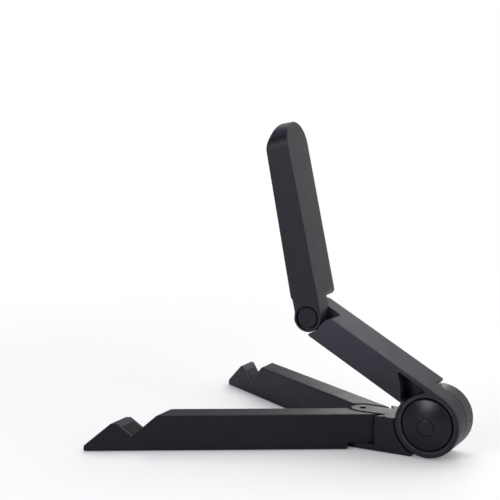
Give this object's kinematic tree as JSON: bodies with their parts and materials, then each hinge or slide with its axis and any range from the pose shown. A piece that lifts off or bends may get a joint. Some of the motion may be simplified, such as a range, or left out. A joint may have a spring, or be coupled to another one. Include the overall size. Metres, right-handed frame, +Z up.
{
  "type": "folding tablet stand",
  "caption": "Folding stand for a tablet: a hub block with spreading notched legs and a two-section arm that leans on the tablet's back.",
  "frame": {"origin": "on the floor, under the middle of the open stand's bounding box", "axes": "+Z up; +Y towards the back, where the hub is; -Y towards the tablet; +X to the right, along the hub's and the elbow's axes"},
  "size_m": [0.1582, 0.1598, 0.1532],
  "materials": {
    "charcoal_plastic": "fine matt moulded texture",
    "cap_plastic": "satin moulded plastic",
    "black_rubber": "matt rubber",
    "zinc_plated_steel": "zinc plated",
    "white_acetal": "smooth engineering plastic"
  },
  "bodies": {
    "base": {"base_block": "charcoal_plastic", "block_foot": "black_rubber", "hub_cap_right": "cap_plastic", "hub_cap_plug": "cap_plastic", "hub_cap_left": "cap_plastic", "hub_bolt": "zinc_plated_steel", "hub_nut": "zinc_plated_steel", "hub_spring_washer": "zinc_plated_steel", "hub_friction_disc": "white_acetal", "leg_screw": "zinc_plated_steel", "leg_friction_washer": "white_acetal", "leg_spring_washer": "zinc_plated_steel"},
    "lower_arm": {"lower_arm": "charcoal_plastic", "elbow_cap_right": "cap_plastic", "elbow_cap_left": "cap_plastic", "elbow_bolt": "zinc_plated_steel", "elbow_nut": "zinc_plated_steel", "elbow_spring_washer": "zinc_plated_steel", "elbow_friction_disc": "white_acetal"},
    "upper_arm": {"upper_arm": "charcoal_plastic", "arm_tip_pad": "black_rubber"},
    "right_leg": {"right_leg": "charcoal_plastic", "right_leg_foot": "black_rubber", "right_notch_pad": "black_rubber"},
    "left_leg": {"left_leg": "charcoal_plastic", "left_leg_foot": "black_rubber", "left_notch_pad": "black_rubber"}
  },
  "joints": [
    {"name": "hub_hinge", "type": "hinge", "parent": "base", "child": "lower_arm", "pos_m": [0, 0.06413, 0.01635], "axis": [1, 0, 0], "range_deg": [-90.9, 28.6]},
    {"name": "elbow_hinge", "type": "hinge", "parent": "lower_arm", "child": "upper_arm", "pos_m": [0, 0.00241, 0.06049], "axis": [1, 0, 0], "range_deg": [-37.5, 47.5]},
    {"name": "right_leg_hinge", "type": "hinge", "parent": "base", "child": "right_leg", "pos_m": [0, 0.02813, 0], "axis": [0, 0, 1], "range_deg": [-31.1, 0]},
    {"name": "left_leg_hinge", "type": "hinge", "parent": "base", "child": "left_leg", "pos_m": [0, 0.02813, 0], "axis": [0, 0, 1], "range_deg": [0, 31.1]}
  ]
}
